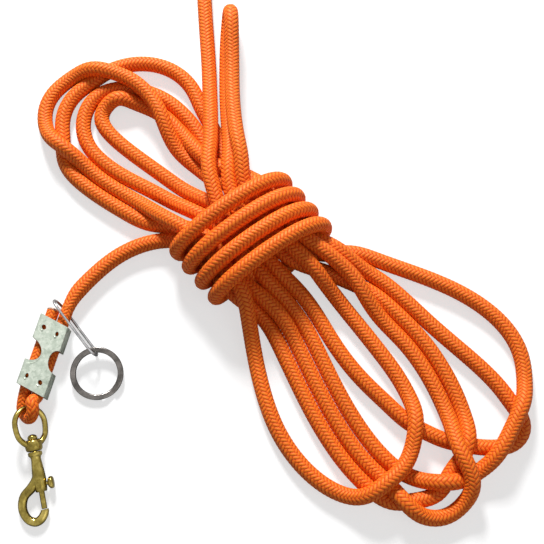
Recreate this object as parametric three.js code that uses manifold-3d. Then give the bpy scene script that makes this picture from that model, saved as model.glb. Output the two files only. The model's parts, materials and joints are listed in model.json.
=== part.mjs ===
// Training leash: a round braided rope in a wrapped hank, with a brass bolt snap held by a
// stamped rope clamp, and a split ring on a wire link.
//
// Millimetres, +Z up. The leash lies on the plane Z = 0. The origin is the middle of the flat
// back of the clamp's band next to the snap.

import * as THREE from 'three';
import { mergeVertices } from 'three/addons/utils/BufferGeometryUtils.js';
import Module from 'manifold-3d';

const wasm = await Module();
wasm.setup();

// ---------------------------------------------------------------------------------------------
// Driving dimensions
// ---------------------------------------------------------------------------------------------

const fitGap = 0.3;               // clearance between pieces that touch or run in each other
const floorGap = 0.05;            // clearance of what lies on the plane

// Rope
const ropeDiameter = 9;
const strandDiameter = 7.2;       // the rope where the clamp and the snap's eye squeeze it

// Rope clamp, an H-shaped plate bent round two strands
const clampHeading = THREE.MathUtils.degToRad(-16.2);
const clampLength = 40.5;
const clampThickness = 12;
const plateWall = 1.2;
const clampCorner = 2.2;
const clampSkew = Math.tan(THREE.MathUtils.degToRad(12));
const bandLength = 14;
const waistNotchDepth = 5.6;
const seamOffset = -5;
const seamWidth = 1;
const punchRadius = 1.35;
const punchSide = 4.1;
const punchInset = 6.2;
const toothLength = 0.9;

// Short end of the rope and the stretch held with it
const shortEndOut = 5.6;
const standingOut = 10.5;
const endSealThickness = 1.2;

// Snap: swivel eye
const snapHeading = THREE.MathUtils.degToRad(12);
const eyeRoll = THREE.MathUtils.degToRad(35);
const eyeSideShift = 1;          // eye's middle to the clamp's middle line
const eyeDrop = 9.5;              // clamp's end to the eye's top wire
const eyeWireRadius = 1.5;
const eyeInnerRadius = 7.2;
const eyeLength = 23.8;           // top wire to the boss's lower face
const bossHeight = 6.5;
const bossRadius = 4.6;

// Snap: rivet, body, bolt and knob
const rivetShankRadius = 1.2;
const rivetHeadRadius = 2.65;
const rivetHeadHeight = 2.6;
const rivetReach = 3.3;
const collarRadius = 3.8;
const neckRadius = 2.65;
const barrelRadius = 3.6;
const barrelLength = 21.7;        // collar's face to the barrel's mouth
const hookRadius = 2.1;
const hookWidth = 13.6;           // bolt's axis to the hook's outer side
const hookLength = 39;            // collar's face to the hook's outer end
const boltRadius = 1.5;
const boltLength = 15.4;
const boltTravel = 7.5;
const mouthGap = 9.5;             // barrel's mouth to the hook's tip
const knobStemRadius = 1;
const knobHeadRadius = 3.2;
const knobHeadThickness = 2.5;
const knobReach = 7.2;            // bolt's axis to the knob's face
const knobSetback = 1.3;          // bolt's inner end to the knob's stem
const springWire = 0.45;
const springTurns = 6;
const springWall = 1.2;           // casting between the spring and the rivet

// Wire link and split ring
const linkWire = 1.5;
const linkLength = 41;
const linkRoom = 2.8;             // how much higher the link's inside is than the held rope
const linkHeight = strandDiameter + linkRoom + 2 * linkWire;
const linkOut = 5.5;              // clamp's end to the link, along the rope
const linkHeading = THREE.MathUtils.degToRad(-51.8);
const linkRoll = THREE.MathUtils.degToRad(12);
const linkOverhang = 11;          // how far the link reaches past the rope's middle
const ringOuterRadius = 14.7;
const ringHeading = THREE.MathUtils.degToRad(-78);
const ringHook = 4.6;             // link's end to the middle of the ring's band
const ringBand = 3.1;
const ringTurnHeight = 1.5;
const ringTurnGap = 0.2;
const ringJogAngle = THREE.MathUtils.degToRad(38);

// Hank
const wrapsLength = 46;
const wrapsWidth = 82;
const wrapsHeight = 36;
const wrapsCorner = 12;
const wrapsMiddle = new THREE.Vector2(118, 78);
const wrapsHeading = THREE.MathUtils.degToRad(-50);
const upperFanHeight = 18;
const lowerFanHeight = 22;
const knotRadius = 12;
const knotLength = 24;

// Facets
const tubeSides = 10;
const wireSides = 12;
const turnedSides = 24;

// ---------------------------------------------------------------------------------------------
// Derived places
// ---------------------------------------------------------------------------------------------

const clampWidth = 2 * strandDiameter + 3 * fitGap + 2 * plateWall;
const strandSide = (strandDiameter + fitGap) / 2;       // strand's middle to the clamp's middle
const strandHeight = clampThickness / 2;
const bandMiddle = (clampLength - bandLength) / 2;
const along = new THREE.Vector3(-Math.sin(clampHeading), Math.cos(clampHeading), 0);
const across = new THREE.Vector3(Math.cos(clampHeading), Math.sin(clampHeading), 0);

// A point of the clamp's frame: across it, along it from its middle, and up
function atClamp(side, forward, up) {
  return new THREE.Vector3(0, 0, up)
    .addScaledVector(across, side)
    .addScaledVector(along, forward + bandMiddle);
}

const eyeRingRadius = eyeInnerRadius + eyeWireRadius;
const strandTurnRadius = eyeWireRadius + strandDiameter / 2 + 1.5 * fitGap;
const hingeHeight = strandTurnRadius * Math.cos(eyeRoll) + strandDiameter / 2 + floorGap;
const hinge = atClamp(eyeSideShift, -clampLength / 2 - eyeDrop, hingeHeight);
const collarFace = -eyeLength - fitGap;
const barrelMouth = collarFace - barrelLength;
const hookTip = barrelMouth - mouthGap;
const hookEnd = collarFace - hookLength;
const snapSlope = Math.asin((hingeHeight - hookRadius - floorGap) / -(hookEnd + hookRadius));
const boreRadius = boltRadius + fitGap;
const boltOuter = hookTip + fitGap;
const boltInner = boltOuter + boltLength;
const springSeat = boltInner + fitGap;
const springEnd = collarFace - rivetReach - springWall;

const standingEnd = atClamp(strandSide, clampLength / 2 + standingOut, strandHeight);
const linkPlace = atClamp(strandSide, clampLength / 2 + linkOut, linkHeight / 2 + floorGap);

const wrapsAxis = new THREE.Vector3(Math.cos(wrapsHeading), Math.sin(wrapsHeading), 0);
const wrapsAcross = new THREE.Vector3(-wrapsAxis.y, wrapsAxis.x, 0);

// A point on the plane of one end of the wraps: end -1 is the upper fan's, +1 the lower fan's
function atWraps(end, side, up, out = fitGap) {
  return new THREE.Vector3(wrapsMiddle.x, wrapsMiddle.y, up)
    .addScaledVector(wrapsAxis, end * (wrapsLength / 2 + out))
    .addScaledVector(wrapsAcross, side);
}

// ---------------------------------------------------------------------------------------------
// Routes of the free rope, chosen by hand
// ---------------------------------------------------------------------------------------------

const runIn = 9;                  // straight run of a strand before it enters the wraps

const tailRoute = [
  standingEnd.clone().addScaledVector(along, fitGap),
  standingEnd.clone().addScaledVector(along, 4).setZ(5.8),
  new THREE.Vector3(22.2, 52.3, 5.2),
  new THREE.Vector3(27, 57.5, 4.7),
  new THREE.Vector3(35, 65.5, 4.65),
  new THREE.Vector3(46, 73.5, 4.65),
  new THREE.Vector3(58, 78.5, 4.8),
  new THREE.Vector3(68, 80.5, 5.4),
  atWraps(-1, -31, 6.6, 6),
  atWraps(-1, -31, 6.6),
];

const bightRoute = [
  atWraps(-1, 5, 23.5),
  atWraps(-1, 5, 23.5, runIn),
  new THREE.Vector3(106.5, 120, 22.8),
  new THREE.Vector3(106, 132, 18.5),
  new THREE.Vector3(104.8, 147, 13),
  new THREE.Vector3(103.5, 165, 8),
  new THREE.Vector3(103, 185, 5),
  new THREE.Vector3(103, 200, 4.65),
  new THREE.Vector3(103.5, 212, 4.65),
  new THREE.Vector3(104.3, 220.5, 7),
  new THREE.Vector3(104.9, 223, 12),
  new THREE.Vector3(105.6, 220, 17),
  new THREE.Vector3(106, 212, 18),
  new THREE.Vector3(106.2, 200, 15.6),
  new THREE.Vector3(106.5, 185, 14.8),
  new THREE.Vector3(107, 165, 17.8),
  new THREE.Vector3(108.5, 147, 22.5),
  new THREE.Vector3(111, 130, 27.5),
  atWraps(-1, 11, 31.2, runIn),
  atWraps(-1, 11, 31.2),
];

const leadRoute = [
  atWraps(-1, -8, 25),
  atWraps(-1, -8, 25, runIn),
  new THREE.Vector3(94, 118, 24),
  new THREE.Vector3(95, 134, 20),
  new THREE.Vector3(94.5, 150, 15),
  new THREE.Vector3(93.5, 168, 9.5),
  new THREE.Vector3(92.5, 187, 5.6),
  new THREE.Vector3(91, 206, 4.65),
  new THREE.Vector3(89, 233, 4.65),
  new THREE.Vector3(88, 255, 4.65),
  new THREE.Vector3(87.5, 270, 6),
  new THREE.Vector3(87.5, 283, 10),
  new THREE.Vector3(87.5, 290, 10),
];

// ---------------------------------------------------------------------------------------------
// Geometry helpers
// ---------------------------------------------------------------------------------------------

function weld(geometry) {
  const bare = geometry.clone();
  bare.deleteAttribute('normal');
  bare.deleteAttribute('uv');
  return mergeVertices(bare, 1e-5);
}

function solidOf(geometry) {
  const welded = weld(geometry);
  const vertProperties = new Float32Array(welded.getAttribute('position').array);
  const triVerts = new Uint32Array(welded.getIndex().array);
  return new wasm.Manifold(new wasm.Mesh({ numProp: 3, vertProperties, triVerts }));
}

function geometryOf(solid) {
  const { vertProperties, triVerts } = solid.getMesh();
  const geometry = new THREE.BufferGeometry();
  geometry.setAttribute('position', new THREE.BufferAttribute(vertProperties, 3));
  geometry.setIndex(new THREE.BufferAttribute(triVerts, 1));
  geometry.computeVertexNormals();
  return geometry;
}

function circle(radius) {
  return new THREE.Shape().absarc(0, 0, radius, 0, 2 * Math.PI, false);
}

// A round bar along a curve
function sweep(curve, radius, steps, sides) {
  return new THREE.ExtrudeGeometry(circle(radius), {
    extrudePath: curve,
    steps,
    curveSegments: sides / 2,     // an arc is drawn with twice as many
    bevelEnabled: false,
  });
}

function smoothCurve(points) {
  return new THREE.CatmullRomCurve3(points, false, 'centripetal');
}

function ropeAlong(points, diameter, steps) {
  return weld(sweep(smoothCurve(points), diameter / 2, steps, tubeSides));
}

// A body turned about the Y axis; the profile runs [radius, y] from low y to high y
function turned(profile, sides = turnedSides) {
  return new THREE.LatheGeometry(profile.map(([radius, y]) => new THREE.Vector2(radius, y)), sides);
}

// A straight round bar along Y between two heights
function barY(radius, low, high, sides = turnedSides) {
  return turned([[0, low], [radius, low], [radius, high], [0, high]], sides);
}

// A rectangle with round corners, in the XY plane, centred
function roundedRectangle(width, height, corner) {
  const x = width / 2;
  const y = height / 2;
  const shape = new THREE.Shape();
  shape.absarc(x - corner, y - corner, corner, 0, Math.PI / 2, false);
  shape.absarc(-x + corner, y - corner, corner, Math.PI / 2, Math.PI, false);
  shape.absarc(-x + corner, -y + corner, corner, Math.PI, 1.5 * Math.PI, false);
  shape.absarc(x - corner, -y + corner, corner, 1.5 * Math.PI, 2 * Math.PI, false);
  return shape;
}

function prism(shape, depth, curveSegments = 8) {
  return new THREE.ExtrudeGeometry(shape, { depth, curveSegments, bevelEnabled: false });
}

function box(width, length, height, x, y, z) {
  return new THREE.BoxGeometry(width, length, height).translate(x, y, z);
}

function material(color, roughness, metalness) {
  return new THREE.MeshStandardMaterial({ color, roughness, metalness });
}

function piece(name, geometry, finish) {
  const mesh = new THREE.Mesh(geometry, finish);
  mesh.name = name;
  return mesh;
}

const ropeOrange = material(0xf26a10, 0.75, 0);
const brass = material(0xa8913c, 0.35, 1);
const zincSteel = material(0xb4bdae, 0.45, 1);
const darkSteel = material(0x5a5753, 0.3, 1);
const springSteel = material(0x8c8c88, 0.35, 1);

// ---------------------------------------------------------------------------------------------
// Rope clamp and the rope it holds
// ---------------------------------------------------------------------------------------------

// Clamp's frame: X across, Y along the rope towards the hank, Z up, origin at its middle
function clampTube() {
  const middleUp = clampThickness / 2;
  const outer = roundedRectangle(clampWidth, clampThickness, clampCorner);
  const inner = roundedRectangle(
    clampWidth - 2 * plateWall,
    clampThickness - 2 * plateWall,
    clampCorner - plateWall,
  );
  outer.holes.push(inner);
  return prism(outer, clampLength, 5)
    .rotateX(Math.PI / 2)
    .translate(0, clampLength / 2, middleUp);
}

// Half-oval cut in the front plate between the bands; side is -1 or +1
function waistNotch(side) {
  const halfLength = clampLength / 2 - bandLength;
  const shape = new THREE.Shape();
  shape.absellipse(0, 0, waistNotchDepth, halfLength, 0, 2 * Math.PI, false);
  return prism(shape, 2 * clampCorner, 10)
    .translate(side * clampWidth / 2, 0, clampThickness - clampCorner - plateWall);
}

// The four punched holes: two in each band, one on each side
function punchPlaces() {
  const places = [];
  for (const end of [-1, 1]) {
    for (const side of [-1, 1]) {
      places.push([side * punchSide, end * (clampLength / 2 - punchInset)]);
    }
  }
  return places;
}

function ropeClamp() {
  const skew = new THREE.Matrix4().set(
    1, 0, 0, 0,
    -clampSkew, 1, 0, 0,
    0, 0, 1, 0,
    0, 0, 0, 1,
  );
  const openLength = clampLength - 2 * bandLength;
  const underFront = clampThickness - clampCorner;
  let body = solidOf(clampTube())
    .subtract(solidOf(box(2 * clampWidth, openLength, underFront, 0, 0, underFront / 2)))
    .subtract(solidOf(box(seamWidth, 2 * clampLength, clampThickness, seamOffset, 0, 0)));
  for (const side of [-1, 1]) {
    body = body.subtract(solidOf(waistNotch(side)));
  }
  for (const [x, y] of punchPlaces()) {
    const hole = barY(punchRadius, 0, clampThickness, 12)
      .rotateX(Math.PI / 2)
      .translate(x, y, 1.5 * clampThickness);
    body = body.subtract(solidOf(hole));
  }
  for (const [x, y] of punchPlaces()) {
    const plateUnder = clampThickness - plateWall;
    const tooth = turned([[0, -toothLength], [0.8, 0.3], [0, 0.3]], 8)
      .rotateX(Math.PI / 2)
      .translate(x, y - punchRadius - 0.9, plateUnder);
    body = body.add(solidOf(tooth));
  }
  return geometryOf(body).applyMatrix4(skew);
}

// The frame of the snap, sloping down to the hook's end, and that of the eye, rolled about it
const snapFrame = new THREE.Matrix4()
  .makeTranslation(hinge.x, hinge.y, hinge.z)
  .multiply(new THREE.Matrix4().makeRotationZ(snapHeading))
  .multiply(new THREE.Matrix4().makeRotationX(snapSlope));
const eyeFrame = snapFrame.clone().multiply(new THREE.Matrix4().makeRotationY(eyeRoll));

// The held rope: in along the right strand, over the eye's top wire, down through the eye and
// back under the wire to the left strand
function heldRope() {
  const clampEnd = clampLength / 2;
  const turnFrom = THREE.MathUtils.degToRad(68);
  const turnTo = THREE.MathUtils.degToRad(278);
  const driftFrom = 0.9;
  const turnSteps = 8;
  const points = [
    standingEnd,
    atClamp(strandSide, clampEnd, strandHeight),
    atClamp(strandSide, 0, strandHeight),
    atClamp(strandSide, -clampEnd + 5, strandHeight),
    atClamp(strandSide, -clampEnd + 1.5, strandHeight + 0.1),
    atClamp(strandSide, -clampEnd - 2, strandHeight + 0.4),
  ];
  for (let step = 0; step <= turnSteps; step += 1) {
    const angle = THREE.MathUtils.lerp(turnFrom, turnTo, step / turnSteps);
    const drift = driftFrom * (1 - step / turnSteps);
    points.push(new THREE.Vector3(
      drift,
      strandTurnRadius * Math.cos(angle),
      strandTurnRadius * Math.sin(angle),
    ).applyMatrix4(eyeFrame));
  }
  points.push(
    atClamp(-strandSide, -clampEnd + 2, strandHeight),
    atClamp(-strandSide, 0, strandHeight),
    atClamp(-strandSide, clampEnd + shortEndOut, strandHeight),
  );
  return ropeAlong(points, strandDiameter, 60);
}

function endSeal() {
  const radius = strandDiameter / 2;
  const place = atClamp(-strandSide, clampLength / 2 + shortEndOut + fitGap, strandHeight);
  return turned([[0, 0], [radius, 0], [radius - 0.3, 0.8], [radius - 1.2, endSealThickness],
    [0, endSealThickness]], 20)
    .rotateZ(clampHeading)
    .translate(place.x, place.y, place.z);
}

// ---------------------------------------------------------------------------------------------
// Bolt snap. Its frame: origin on the axis of the eye's top wire, +Y towards the rope, Z up
// ---------------------------------------------------------------------------------------------

function swivelEye() {
  const ring = eyeRingRadius;
  const points = [
    new THREE.Vector3(-2.9, -eyeLength + 3.4, 0),
    new THREE.Vector3(-0.66 * ring, -eyeLength + 5.6, 0),
    new THREE.Vector3(-0.9 * ring, -1.75 * ring, 0),
  ];
  const arcSteps = 8;
  for (let step = 0; step <= arcSteps; step += 1) {
    const angle = Math.PI - (Math.PI * step) / arcSteps;
    points.push(new THREE.Vector3(ring * Math.cos(angle), ring * (Math.sin(angle) - 1), 0));
  }
  for (const left of points.slice(0, 3).reverse()) {
    points.push(new THREE.Vector3(-left.x, left.y, 0));
  }
  const loop = solidOf(sweep(smoothCurve(points), eyeWireRadius, 36, wireSides));
  const top = -eyeLength + bossHeight;
  const boss = solidOf(turned([
    [0, -eyeLength],
    [bossRadius - 0.9, -eyeLength],
    [bossRadius, -eyeLength + 2.6],
    [bossRadius - 0.2, top - 1.2],
    [bossRadius - 1.6, top],
    [0, top],
  ]));
  const bore = solidOf(barY(rivetShankRadius + fitGap, -eyeLength - 1, top + 1, 20));
  return geometryOf(loop.add(boss).subtract(bore));
}

function swivelRivet() {
  const seat = -eyeLength + bossHeight + fitGap;
  const head = rivetHeadRadius;
  return turned([
    [0, collarFace - rivetReach + fitGap],
    [rivetShankRadius, collarFace - rivetReach + fitGap],
    [rivetShankRadius, seat],
    [head, seat],
    [head, seat + 0.25 * rivetHeadHeight],
    [0.85 * head, seat + 0.6 * rivetHeadHeight],
    [0.5 * head, seat + 0.9 * rivetHeadHeight],
    [0, seat + rivetHeadHeight],
  ], 20);
}

// The hook's middle line, from inside the barrel round to the tip under the bolt
function hookCurve() {
  const side = -(hookWidth - hookRadius);
  const low = hookEnd + hookRadius;
  return smoothCurve([
    new THREE.Vector3(-0.6, barrelMouth + 10, 0),
    new THREE.Vector3(-2, barrelMouth + 5.6, 0),
    new THREE.Vector3(0.5 * side, barrelMouth + 2.6, 0),
    new THREE.Vector3(0.87 * side, barrelMouth - 1.2, 0),
    new THREE.Vector3(side, 0.5 * (barrelMouth + low) + 1.2, 0),
    new THREE.Vector3(0.9 * side, low + 4, 0),
    new THREE.Vector3(0.53 * side, low, 0),
    new THREE.Vector3(0.16 * side, low + 1.6, 0),
    new THREE.Vector3(0.01 * side, hookTip - 2.2, 0),
    new THREE.Vector3(0, hookTip, 0),
  ]);
}

function snapBody() {
  const stem = solidOf(turned([
    [0, barrelMouth],
    [barrelRadius - 0.6, barrelMouth],
    [barrelRadius - 0.1, barrelMouth + 2.4],
    [barrelRadius, barrelMouth + 6],
    [barrelRadius - 0.3, barrelMouth + 11],
    [neckRadius + 0.2, barrelMouth + 15.2],
    [neckRadius, collarFace - 3.4],
    [collarRadius - 0.7, collarFace - 2.2],
    [collarRadius, collarFace - 1.4],
    [collarRadius, collarFace - 0.5],
    [collarRadius - 0.4, collarFace],
    [0, collarFace],
  ]));
  const hook = solidOf(sweep(hookCurve(), hookRadius, 40, 14));
  const bore = solidOf(barY(boreRadius, barrelMouth - 4, springEnd, 20));
  const rivetHole = solidOf(barY(
    rivetShankRadius + fitGap, collarFace - rivetReach, collarFace + 1, 20));
  const slotWidth = 2 * (knobStemRadius + fitGap);
  const slotLow = boltInner - knobSetback - 2 * knobStemRadius - fitGap;
  const slotHigh = boltInner - knobSetback + boltTravel + fitGap;
  const slot = solidOf(box(
    2 * collarRadius, slotHigh - slotLow, slotWidth,
    collarRadius, (slotLow + slotHigh) / 2, 0));
  return geometryOf(stem.add(hook).subtract(bore).subtract(rivetHole).subtract(slot));
}

function snapBolt() {
  return turned([
    [0, boltOuter],
    [boltRadius - 0.3, boltOuter],
    [boltRadius, boltOuter + 0.3],
    [boltRadius, boltInner],
    [0, boltInner],
  ], 20);
}

function thumbKnob() {
  const face = knobReach;
  const under = knobReach - knobHeadThickness;
  return turned([
    [0, boltRadius + fitGap],
    [knobStemRadius, boltRadius + fitGap],
    [knobStemRadius, under],
    [knobHeadRadius - 0.5, under],
    [knobHeadRadius, under + 0.6],
    [knobHeadRadius, face - 0.9],
    [knobHeadRadius - 0.8, face],
    [0, face],
  ], 24)
    .rotateZ(-Math.PI / 2)
    .translate(0, boltInner - knobSetback - knobStemRadius, 0);
}

function boltSpring() {
  const radius = boreRadius - springWire / 2 - fitGap;
  const low = springSeat + springWire / 2;
  const high = springEnd - fitGap - springWire / 2;
  const pointsPerTurn = 12;
  const points = [];
  for (let step = 0; step <= springTurns * pointsPerTurn; step += 1) {
    const angle = (2 * Math.PI * step) / pointsPerTurn;
    const y = THREE.MathUtils.lerp(low, high, step / (springTurns * pointsPerTurn));
    points.push(new THREE.Vector3(radius * Math.cos(angle), y, radius * Math.sin(angle)));
  }
  const curve = new THREE.CatmullRomCurve3(points);
  return weld(sweep(curve, springWire / 2, springTurns * 10, 4));
}

// ---------------------------------------------------------------------------------------------
// Wire link and split ring
// ---------------------------------------------------------------------------------------------

// A long oval wire ring: a torus whose two halves are slid apart along X
function wireLink() {
  const turnRadius = (linkHeight - linkWire) / 2;
  const slide = linkLength / 2 - linkHeight / 2;
  const torus = weld(new THREE.TorusGeometry(turnRadius, linkWire / 2, 8, 26));
  const position = torus.getAttribute('position');
  for (let index = 0; index < position.count; index += 1) {
    const x = position.getX(index);
    position.setX(index, x + Math.sign(x) * slide);
  }
  torus.rotateX(Math.PI / 2).translate(linkLength / 2 - linkOverhang, 0, 0);
  torus.computeVertexNormals();
  return torus;
}

// Two flat turns, one above the other, joined by a short sloping step
function splitRing() {
  const pitch = ringTurnHeight + ringTurnGap;
  const turnAngle = 2 * Math.PI - ringJogAngle;
  const total = 2 * turnAngle + ringJogAngle;
  const middleRadius = ringOuterRadius - ringBand / 2;
  const section = roundedRectangle(ringBand, ringTurnHeight, 0.5);
  const bar = weld(new THREE.ExtrudeGeometry(section, {
    depth: 1, steps: 80, curveSegments: 1, bevelEnabled: false,
  }));
  const position = bar.getAttribute('position');
  for (let index = 0; index < position.count; index += 1) {
    const turn = total * position.getZ(index);
    const onStep = THREE.MathUtils.smoothstep(turn, turnAngle, turnAngle + ringJogAngle);
    const radius = middleRadius + position.getX(index);
    const up = position.getY(index) + pitch * (onStep - 0.5);
    position.setXYZ(index, radius * Math.cos(-turn), radius * Math.sin(-turn), up);
  }
  bar.computeVertexNormals();
  return bar;
}

// ---------------------------------------------------------------------------------------------
// Hank
// ---------------------------------------------------------------------------------------------

function hankWraps() {
  const shape = roundedRectangle(wrapsWidth, wrapsHeight, wrapsCorner);
  return prism(shape, wrapsLength, 6)
    .translate(0, 0, -wrapsLength / 2)
    .rotateX(Math.PI / 2)
    .rotateZ(wrapsHeading + Math.PI / 2)
    .translate(wrapsMiddle.x, wrapsMiddle.y, wrapsHeight / 2 + floorGap);
}

// A fan of bights: an upright prism whose round outline ends on one face of the wraps
function fan(end, sideFrom, sideTo, outline, height) {
  const first = atWraps(end, sideFrom, 0);
  const last = atWraps(end, sideTo, 0);
  const points = outline.map(([x, y]) => new THREE.Vector2(x, y));
  const shape = new THREE.Shape();
  shape.moveTo(first.x, first.y);
  shape.splineThru([...points, new THREE.Vector2(last.x, last.y)]);
  shape.closePath();
  return prism(shape, height, 2).translate(0, 0, floorGap);
}

function upperFan() {
  const outline = [
    [62, 97], [40, 110], [20, 122], [2, 136], [-11, 152], [-8, 172], [10, 186], [30, 192],
    [52, 197], [72, 192], [84, 178], [85, 160], [84, 140], [88, 124],
  ];
  return fan(-1, -22, 12, outline, upperFanHeight);
}

function lowerFan() {
  const outline = [
    [111, 27], [117, 0], [122, -22], [134, -44], [152, -62], [172, -71], [192, -70], [210, -77],
    [226, -80], [238, -72], [248, -56], [264, -42], [275, -26], [277, 0], [274, 20], [262, 38],
    [244, 54], [222, 64], [198, 70], [176, 78],
  ];
  return fan(1, -34, 34, outline, lowerFanHeight);
}

function endKnot() {
  const last = leadRoute[leadRoute.length - 1];
  return turned([
    [0, 0],
    [ropeDiameter / 2 + 0.5, 0],
    [0.85 * knotRadius, 0.16 * knotLength],
    [knotRadius, 0.42 * knotLength],
    [knotRadius, 0.6 * knotLength],
    [0.85 * knotRadius, 0.86 * knotLength],
    [0.5 * knotRadius, knotLength],
    [0, knotLength],
  ], 18).translate(last.x, last.y + fitGap, knotRadius + floorGap);
}

// ---------------------------------------------------------------------------------------------
// Assembly
// ---------------------------------------------------------------------------------------------

const clampGroup = new THREE.Group();
clampGroup.position.copy(atClamp(0, 0, 0));
clampGroup.rotation.z = clampHeading;
clampGroup.add(piece('rope_clamp', ropeClamp(), zincSteel));

const eyeGroup = new THREE.Group();
eyeGroup.applyMatrix4(eyeFrame);
eyeGroup.add(piece('swivel_eye', swivelEye(), brass));

const snapGroup = new THREE.Group();
snapGroup.applyMatrix4(snapFrame);
snapGroup.add(
  piece('swivel_rivet', weld(swivelRivet()), brass),
  piece('snap_body', snapBody(), brass),
  piece('snap_bolt', weld(snapBolt()), brass),
  piece('thumb_knob', weld(thumbKnob()), brass),
  piece('bolt_spring', boltSpring(), springSteel),
);

const linkGroup = new THREE.Group();
linkGroup.position.copy(linkPlace);
linkGroup.rotation.z = linkHeading;
linkGroup.add(piece('wire_link', wireLink().rotateX(linkRoll), darkSteel));

// The ring hangs in the link's far end: one side rests in the link's turn, the other lies low
const ringMiddleRadius = ringOuterRadius - ringBand / 2;
const ringHeight = 2 * ringTurnHeight + ringTurnGap;
const linkTurn = (linkHeight - 2 * linkWire) / 2;
const bandToTurn = linkHeight / 2 - ringHook + 0.56 * ringBand;
const ringLift = linkHeight / 2 - Math.sqrt(linkTurn ** 2 - bandToTurn ** 2)
  + 2 * fitGap + ringHeight / 2;
const ringLean = Math.asin((ringLift - ringHeight / 2 - 4 * floorGap) / (2 * ringMiddleRadius));
const ringPlace = linkPlace.clone()
  .add(new THREE.Vector3(Math.cos(linkHeading), Math.sin(linkHeading), 0)
    .multiplyScalar(linkLength - linkOverhang - ringHook))
  .setZ(ringLift);

const ringTilt = new THREE.Group();
ringTilt.rotation.y = ringLean;
const ring = piece('split_ring', splitRing(), darkSteel);
ring.position.x = ringMiddleRadius;
ringTilt.add(ring);
const ringGroup = new THREE.Group();
ringGroup.position.copy(ringPlace);
ringGroup.rotation.z = ringHeading;
ringGroup.add(ringTilt);

const group = new THREE.Group();
group.add(
  clampGroup,
  eyeGroup,
  snapGroup,
  linkGroup,
  ringGroup,
  piece('rope_eye', heldRope(), ropeOrange),
  piece('rope_end_seal', weld(endSeal()), ropeOrange),
  piece('rope_tail', ropeAlong(tailRoute, ropeDiameter, 8), ropeOrange),
  piece('hank_wraps', weld(hankWraps()), ropeOrange),
  piece('hank_upper_fan', weld(upperFan()), ropeOrange),
  piece('hank_lower_fan', weld(lowerFan()), ropeOrange),
  piece('hank_bight', ropeAlong(bightRoute, ropeDiameter, 26), ropeOrange),
  piece('rope_lead', ropeAlong(leadRoute, ropeDiameter, 16), ropeOrange),
  piece('end_knot', weld(endKnot()), ropeOrange),
);

export default group;
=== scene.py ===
"""Looks of the training leash: a braided orange rope in a wrapped hank, a brass bolt snap in a
stamped rope clamp, and a split ring on a wire link. Metres, +Z up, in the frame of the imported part.
"""

import json
import math

import bmesh
import bpy
import numpy as np
from mathutils import Matrix, Vector


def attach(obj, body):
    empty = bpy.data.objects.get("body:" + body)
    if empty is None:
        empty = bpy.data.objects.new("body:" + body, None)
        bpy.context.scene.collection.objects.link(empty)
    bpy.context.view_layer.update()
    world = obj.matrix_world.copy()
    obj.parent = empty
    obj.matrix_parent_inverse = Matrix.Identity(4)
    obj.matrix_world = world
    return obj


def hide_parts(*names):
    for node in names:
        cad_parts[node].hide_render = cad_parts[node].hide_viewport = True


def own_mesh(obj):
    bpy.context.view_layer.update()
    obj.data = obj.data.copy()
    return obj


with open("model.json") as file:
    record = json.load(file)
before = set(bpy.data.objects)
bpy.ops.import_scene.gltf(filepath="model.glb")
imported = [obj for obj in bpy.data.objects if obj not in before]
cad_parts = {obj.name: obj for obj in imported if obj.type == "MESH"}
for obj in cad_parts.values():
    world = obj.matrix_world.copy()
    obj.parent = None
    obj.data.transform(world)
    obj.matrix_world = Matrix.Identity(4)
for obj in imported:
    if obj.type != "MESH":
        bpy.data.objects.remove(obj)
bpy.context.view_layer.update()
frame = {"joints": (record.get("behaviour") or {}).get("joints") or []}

MM = 0.001

# --------------------------------------------------------------------------------------------
# Camera
# --------------------------------------------------------------------------------------------

CAMERA_TARGET = Vector((0.13005, 0.06291, 0.0))
CAMERA_DISTANCE = 0.6223
CAMERA_ELEVATION = math.radians(75)
CAMERA_LENS = 72
SENSOR_WIDTH = 36


def make_camera():
    data = bpy.data.cameras.new("camera")
    data.lens = CAMERA_LENS
    data.sensor_width = SENSOR_WIDTH
    camera = bpy.data.objects.new("camera", data)
    bpy.context.scene.collection.objects.link(camera)
    back = Vector((0, -math.cos(CAMERA_ELEVATION), math.sin(CAMERA_ELEVATION)))
    camera.location = CAMERA_TARGET + CAMERA_DISTANCE * back
    camera.rotation_euler = (-back).to_track_quat("-Z", "Y").to_euler()
    bpy.context.scene.camera = camera


make_camera()

# --------------------------------------------------------------------------------------------
# The rope's route, in millimetres until the mesh is built
# --------------------------------------------------------------------------------------------

ROPE_DIAMETER = 9.0
FLOOR_GAP = 0.05
FIT_GAP = 0.3
ROPE_LENGTH = 5.0

CLAMP_HEADING = math.radians(-16.2)
CLAMP_LENGTH = 40.5
BAND_LENGTH = 14
ALONG = np.array([-math.sin(CLAMP_HEADING), math.cos(CLAMP_HEADING), 0])
ACROSS = np.array([math.cos(CLAMP_HEADING), math.sin(CLAMP_HEADING), 0])
STRAND_DIAMETER = 7.2
STRAND_SIDE = (STRAND_DIAMETER + FIT_GAP) / 2
CLAMP_THICKNESS = 12
STANDING_OUT = 10.5

WRAPS_MIDDLE = np.array([118, 78, 0])
WRAPS_LENGTH = 46
WRAPS_HEADING = math.radians(-50)
WRAPS_AXIS = np.array([math.cos(WRAPS_HEADING), math.sin(WRAPS_HEADING), 0])
WRAPS_ACROSS = np.array([-WRAPS_AXIS[1], WRAPS_AXIS[0], 0])
UP = np.array([0, 0, 1])
RUN_IN = 9


def at_clamp(side, forward, up):
    """A point of the clamp's frame: across it, along it from its middle, and up."""
    middle = (CLAMP_LENGTH - BAND_LENGTH) / 2
    return ACROSS * side + ALONG * (forward + middle) + UP * up


def in_wraps(along, side, up):
    """A point by its place along the wraps' axis from their middle, across it, and up."""
    return WRAPS_MIDDLE + WRAPS_AXIS * along + WRAPS_ACROSS * side + UP * up


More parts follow.
